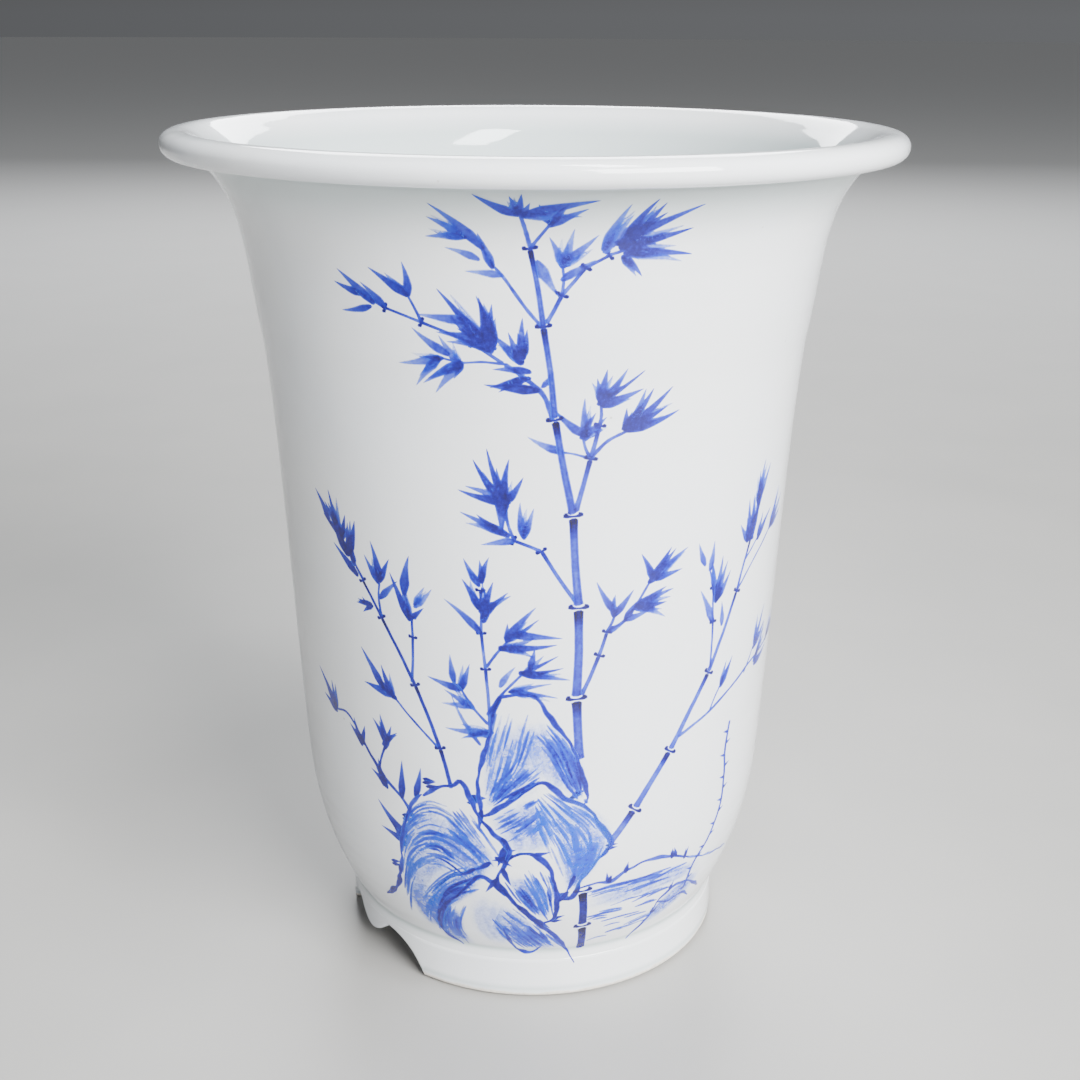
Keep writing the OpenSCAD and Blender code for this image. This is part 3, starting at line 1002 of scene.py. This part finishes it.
def paint_tall_rock():
    """The tall rock at the back, under the main stalk."""
    wash([(-12, 104), (-15, 88), (-15, 72)], [(4, 102), (3, 90), (4, 80)], 0.17)
    wash([(-5, 103), (-1, 92), (3, 81)], [(7, 105), (15, 89), (16, 75)], 0.2)
    wash([(-13, 83), (-14, 77), (-14, 73)], [(3, 90), (-1, 85), (-7, 78)], 0.3)
    wash([(7, 92), (10, 85), (12, 78)], [(11, 95), (15, 85), (15, 77)], 0.4)
    veins([(-10, 107), (-13, 93), (-15, 77)], [(1, 104), (-3, 90), (-9, 78)], 26, 0.34, 0.6)
    veins([(-4, 95), (-9, 85), (-14, 76)], [(7, 87), (0, 82), (-11, 74)], 20, 0.5, 0.7)
    veins([(5, 103), (10, 95), (14, 84), (15, 76)], [(-2, 99), (4, 92), (9, 82),
        (13, 77)], 24, 0.5, 0.7)
    veins([(12, 90), (14, 84), (15, 77)], [(6, 88), (10, 82), (13, 77)], 7, 0.9, 0.8)
    veins([(2, 84), (-5, 80), (-13, 74)], [(3, 83), (-5, 78.6), (-13, 73)], 4, 0.9, 0.9)
    outline([(-15, 72), (-16, 81), (-15, 88), (-12, 99), (-11, 106), (-9, 110.5)], 1.0, 1.15)
    outline([(-11.4, 104.5), (-9.4, 110), (-8, 111), (-2, 111.6), (1, 110.6), (5, 104), (11, 95),
        (14, 86), (16, 78), (15, 75)], 0.95, 1.1)


def paint_middle_rock():
    """The rock in the middle, whose right side leans over a hollow."""
    wash([(-15, 71), (-10, 64), (-7, 57)], [(1, 81), (7, 73), (8, 60)], 0.22)
    wash([(1, 79), (5, 64), (9, 44)], [(14, 79), (25, 65), (20, 50)], 0.2)
    wash([(9, 62), (10, 52), (10, 44)], [(22, 64), (21, 56), (14, 44)], 0.4)
    veins([(1, 79), (-6, 74.5), (-13, 70.5)], [(5, 72), (-1, 65), (-7, 60)], 22, 0.5, 0.8)
    veins([(4, 81), (11, 76), (19, 69), (23, 60)], [(0, 75), (2, 68), (5, 60),
        (9, 49)], 40, 0.45, 0.7)
    veins([(18, 70), (20, 60), (14, 46)], [(11, 66), (12, 55), (11, 44)], 15, 0.75, 0.85)
    veins([(22, 62), (19, 54), (13, 44)], [(19, 61), (17, 53), (12, 45)], 4, 1.1, 0.9)
    outline([(-15, 71), (-13, 72), (-5, 78), (0, 82), (4, 83), (9, 78), (16, 74), (20, 68),
        (24, 61), (23, 58)], 1.15, 1.25)
    outline([(23.6, 59), (18, 53), (15, 48), (13, 42), (9, 41)], 1.25, 1.4)


def paint_left_rock():
    """The broad rock at the left, lit from above."""
    wash([(-45, 52), (-38, 72), (-24, 77)], [(-42, 26), (-30, 42), (-18, 50)], 0.16)
    wash([(-24, 74), (-17, 66), (-9, 56)], [(-31, 60), (-24, 52), (-17, 45)], 0.32)
    wash([(-13, 55), (-25, 49), (-38, 36)], [(-18, 42), (-27, 34), (-36, 21)], 0.38)
    wash([(-46, 40), (-44, 31), (-40, 22)], [(-33, 42), (-31, 32), (-30, 22)], 0.3)
    veins([(-43, 54), (-40, 66), (-33, 73), (-26, 73), (-18, 66), (-10, 57)], [(-46, 27),
        (-40, 42), (-33, 50), (-27, 50), (-21, 47), (-17, 45)], 70, 0.42, 0.7, (0.12, 0.34))
    veins([(-21, 76), (-15, 67), (-9, 57)], [(-28, 66), (-20, 58), (-13, 50)], 18, 0.65, 0.8)
    veins([(-14, 54), (-26, 49), (-37, 37), (-42, 27)], [(-18, 42), (-27, 37), (-32, 28),
        (-33, 20)], 34, 0.55, 0.8)
    veins([(-18, 49), (-27, 43), (-33, 34), (-36, 25)], [(-18, 44), (-27, 38), (-32, 30),
        (-34, 22)], 8, 0.95, 0.9)
    veins([(-36, 58), (-30, 60), (-22, 55)], [(-34, 52), (-28, 52), (-20, 47)], 8, 0.8, 1.0)
    outline([(-33, 75), (-28, 79), (-24, 80), (-21, 82), (-18, 76), (-16, 71), (-12, 66), (-7, 60),
        (-9, 54)], 1.15, 1.25)
    outline([(-34, 75), (-38, 70), (-42.6, 57), (-43.4, 50), (-45, 43)], 0.85, 0.9)
    outline([(-45, 46), (-46.5, 40), (-50, 35), (-56, 30)], 1.3, 1.4)


def paint_front_rocks():
    """The two low rocks in front."""
    wash([(-10, 50), (-5, 42), (2, 33)], [(1, 52), (5, 44), (7, 33)], 0.34)
    veins([(-9, 50), (-4, 42), (4, 32)], [(1, 53), (5, 43), (6.5, 34)], 24, 0.75, 0.8)
    veins([(-9, 49), (-5, 42), (1, 34)], [(-3, 47), (0, 41), (4, 34)], 8, 1.1, 0.9)
    veins([(5, 54), (8, 46), (7, 35)], [(2, 52), (5, 43), (5, 35)], 9, 0.6, 0.7)
    outline([(-7, 57), (-3, 59), (1, 58), (5, 54), (7, 47), (8, 41), (7, 33), (3, 31)], 1.2, 1.35)
    outline([(3, 31), (-4, 38), (-9, 45), (-11, 49), (-7, 57)], 1.15, 1.4)

    wash([(-33, 33), (-36, 25), (-34, 17)], [(-22, 36), (-24, 25), (-20, 17)], 0.36)
    wash([(-20, 44), (-22, 30), (-16, 18)], [(-6, 40), (-8, 30), (-6, 19)], 0.1)
    wash([(-9, 41), (1, 31), (13, 18)], [(-14, 28), (-7, 20), (3, 17)], 0.3)
    veins([(-31, 34), (-35, 26), (-33, 18)], [(-21, 38), (-25, 27), (-22, 18)], 18, 0.5, 0.9)
    veins([(-8, 40), (1, 31), (12, 18)], [(-14, 31), (-9, 23), (-3, 17)], 26, 0.55, 0.85)
    veins([(-3, 36), (3, 29), (12, 18)], [(-5, 30), (0, 23), (6, 17.5)], 9, 0.95, 0.9)
    outline([(-33, 31), (-29, 36), (-24, 41), (-17, 49), (-13, 48), (-8, 43), (-4, 37), (1, 32),
        (6, 27), (10, 22), (16, 12)], 1.1, 1.25)
    outline([(-32.6, 32), (-34, 26), (-33, 21), (-27, 17)], 1.0, 1.1)
    outline([(-10, 28), (-8, 22), (-5, 17.4), (0, 16.6), (3, 19)], 0.9, 1.0)


def paint_rocks():
    """A pile of rocks: washes, texture strokes along their fall, contours, and moss."""
    for paint in (paint_tall_rock, paint_middle_rock, paint_left_rock, paint_front_rocks):
        paint()

    # crevices, where the brush was pressed full
    for x, y, heading, length, breadth in (
            (-8, 61, 250, 7, 2.4), (-6, 58, 200, 6, 2.2), (-15, 73, 262, 6, 1.8),
            (-11, 49, 235, 6, 1.8), (-12, 47, 305, 5, 1.4), (8, 40, 268, 7, 1.8),
            (11, 44, 235, 5, 2.0), (-13, 55, 215, 6, 1.8), (-9, 64, 300, 5, 1.6),
            (-4, 38, 310, 6, 1.6), (-11, 57, 330, 5, 1.8), (1, 33, 320, 6, 1.8),
            (-9, 53, 290, 6, 1.8), (13, 50, 250, 6, 1.6), (-18, 52, 215, 6, 1.5),
            (0, 58.6, 8, 5, 1.4)):
        leaf(moss, (x, y), heading, length, 1.35, breadth)
    for x, y, count in ((-31, 80, 3), (-17, 77, 3), (-47, 47, 2), (13, 79, 2), (17, 55, 2),
                        (10, 43, 2), (-40, 66, 2), (24, 60, 2), (-8, 59, 2), (8, 33, 2)):
        moss_dabs(x, y, count)


def paint_ground():
    """The low bank at the right, with broken level strokes and tufts of grass."""
    wash([(16, 42), (30, 45), (50, 45), (66, 41)], [(17, 34), (30, 36), (46, 37), (62, 36)], 0.18)
    wash([(44, 30), (54, 36), (68, 38)], [(40, 19), (48, 22), (62, 28)], 0.26)
    for points, width, ink in (
            ([(15, 45), (20, 46.4), (25, 46), (30, 49), (37, 51), (43, 50.4), (48, 49), (55, 46)],
             0.9, 0.85),
            ([(54, 46.4), (60, 44), (66, 42), (74, 40), (82, 38)], 0.6, 0.45),
            ([(38, 16.6), (41, 20), (45, 26), (46, 31), (51, 35), (55, 35.4), (60, 34), (69, 28)],
             0.85, 0.8),
            ([(46, 31), (52, 29), (58, 30), (64, 26)], 0.7, 0.7)):
        outline(points, width, ink, ground)
    for _ in range(38):
        share = random.uniform(0, 1)
        x = random.uniform(15, 40) + 10 * share * (1 - share)
        y = 46 - 26 * share + 0.05 * (x - 25)
        reach = random.uniform(6, 20) * (1 - 0.4 * share)
        rise = random.uniform(-0.03, 0.12) * reach
        line = flowing([(x, y), (x + reach / 2, y + rise * 0.8 + 0.3), (x + reach, y + rise)], 0.9)
        line = line[line[:, 0] < 30 + 30 * np.clip((line[:, 1] - 16) / 30, 0, 1) + 6]
        if len(line) > 5:
            t = np.linspace(0, 1, len(line))
            press = np.sin(math.pi * (0.03 + 0.94 * t)) ** 0.5
            stroke(ground, line, 0.32 * random.uniform(0.6, 1.3) * press,
                   random.uniform(0.2, 0.55), 1.0)
    for x, y, count in ((25, 46, 4), (30, 48.6, 3), (48, 48.8, 4), (53.6, 46.4, 2),
                        (45, 26.4, 2), (51, 34.6, 2)):
        grass(x, y, count)


def paint_pot(surface_tree):
    """Lays the whole picture in order, then makes one piece of each kind of brushwork."""
    for paint in (paint_rocks, paint_ground, paint_main_bamboo, paint_left_bamboo,
                  paint_middle_bamboo, paint_right_bamboo):
        paint()
    wash_tree = cobalt_group()
    for kind, mottle in MOTTLE.items():
        layers[kind].finish(cobalt(surface_tree, wash_tree, "cobalt_" + kind, mottle))


# ---- the pot
surface = fired_surface_group()
glaze = white_glaze(surface)
coat("outside_coat", outside_line, "outer_glaze", glaze, outside_pool_and_shade)
coat("inside_coat", inside_line, "inner_glaze", glaze, inside_pool_and_shade)
foot_piece(foot_finish(surface))
clay = bare_clay()
for name in ("pot_wall", "mouth_rim", "pot_floor"):
    bpy.data.objects[name].data.materials.clear()
    bpy.data.objects[name].data.materials.append(clay)
paint_pot(surface)


# ---- floor, lights, camera
FLOOR_SIDES = 64
FLOOR_DROP = -0.0004  # keeps the floor clear of the foot
EYE = (0, -0.455, 0.2907)
LENS, PAN, TILT, ROLL = 49.64, -0.26, 70.57, 0.3  # millimetres, then degrees


def plain_floor():
    """A wide pale floor, dimmer near the pot, with painted light further out: paler and faintly
    glowing.
    """
    turns = np.linspace(0, 2 * math.pi, FLOOR_SIDES + 1)[:-1]
    radii = [0.15, 0.4, 1.0, 3.0, 8.0, 20.0]
    points = [(0, 0, 0)]
    for r in radii:
        points += [(r * math.cos(a), r * math.sin(a), 0) for a in turns]
    pairs = [(j, (j + 1) % FLOOR_SIDES) for j in range(FLOOR_SIDES)]
    faces = [(0, 1 + j, 1 + k) for j, k in pairs]
    for i in range(len(radii) - 1):
        a, b = 1 + FLOOR_SIDES * i, 1 + FLOOR_SIDES * (i + 1)
        faces += [(a + j, b + j, b + k, a + k) for j, k in pairs]
    mesh = bpy.data.meshes.new("plain_floor")
    mesh.from_pydata(points, [], faces)
    floor = bpy.data.objects.new("plain_floor", mesh)
    floor.location.z = FLOOR_DROP
    bpy.context.scene.collection.objects.link(floor)
    material, n, shader = new_material("plain_floor")
    place = n.place()
    near = n.ramp(n.noise(place, 90, 3.0),
                  [(0.3, (0.345, 0.34, 0.33)), (0.7, (0.37, 0.362, 0.35))])
    span = n.add("ShaderNodeVectorMath", operation="LENGTH")
    n.join(place, span.inputs[0])
    # painted light: further from the pot the floor turns paler and glows faintly
    away = n.maths("MULTIPLY_ADD", span.outputs["Value"], 0.45, -0.25, clamp=True)
    n.join(n.blend(away, near, (0.80, 0.80, 0.80)), shader.inputs["Base Color"])
    shader.inputs["Emission Color"].default_value = (1, 1, 1, 1)
    n.join(n.maths("MULTIPLY", away, 0.045), shader.inputs["Emission Strength"])
    shader.inputs["Roughness"].default_value = 0.45
    mesh.materials.append(material)
    return floor


def soft_light(name, where, target, size, power, tint):
    lamp = bpy.data.lights.new(name, "AREA")
    lamp.shape = "RECTANGLE"
    lamp.size, lamp.size_y = size
    lamp.energy = power
    lamp.color = tint
    piece = bpy.data.objects.new(name, lamp)
    bpy.context.scene.collection.objects.link(piece)
    aim = Vector(target) - Vector(where)
    piece.rotation_euler = aim.to_track_quat("-Z", "Y").to_euler()
    piece.location = where


plain_floor()
soft_light("key_window", (0.86, -1.17, 0.92), (0, 0, 0.14), (1.0, 0.9), 104, (1.0, 1.0, 0.99))
soft_light("front_fill", (-0.30, -1.85, 0.80), (0, 0, 0.13), (1.1, 0.6), 9, (0.94, 0.97, 1.0))
soft_light("roof_window", (0.36, -0.42, 1.7), (0, 0.05, 0.2), (0.28, 0.62), 24, (0.96, 0.99, 1.0))
soft_light("back_window", (0.0, 1.8, 1.35), (0, 0.1, 0.10), (1.3, 0.9), 50, (0.96, 0.98, 1.0))


def studio_air():
    """Light from all round: bright overhead, dim at eye level, and dimmer towards the left."""
    world = bpy.data.worlds.new("studio_air")
    world.use_nodes = True
    n = Nodes(world.node_tree)
    heading = n.add("ShaderNodeSeparateXYZ")
    n.join(n.add("ShaderNodeTexCoord").outputs["Generated"], heading.inputs[0])
    tilt = n.ramp(heading.outputs["Z"], [(0.0, (0.325, 0.334, 0.35)), (0.04, (0.27, 0.272, 0.277)),
                                         (0.10, (0.24, 0.242, 0.246)),
                                         (0.5, (0.22, 0.228, 0.236)), (1.0, (0.40, 0.415, 0.43))])
    side = n.ramp(n.maths("MULTIPLY_ADD", heading.outputs["X"], 0.5, 0.5),
                  [(0.0, (0.45, 0.45, 0.455)), (0.5, (0.8, 0.8, 0.8)), (1.0, (1.0, 1.0, 1.0))])
    background = world.node_tree.nodes["Background"]
    n.join(n.blend(1.0, tilt, side, "MULTIPLY"), background.inputs["Color"])
    background.inputs["Strength"].default_value = 0.5
    return world


bpy.context.scene.world = studio_air()

camera = bpy.data.cameras.new("camera")
camera.sensor_width, camera.lens = 36.0, LENS
eye = bpy.data.objects.new("camera", camera)
bpy.context.scene.collection.objects.link(eye)
eye.matrix_world = (Matrix.Translation(EYE)
                    @ Matrix.Rotation(math.radians(PAN), 4, "Z")
                    @ Matrix.Rotation(math.radians(TILT), 4, "X")
                    @ Matrix.Rotation(math.radians(ROLL), 4, "Z"))
bpy.context.scene.camera = eye
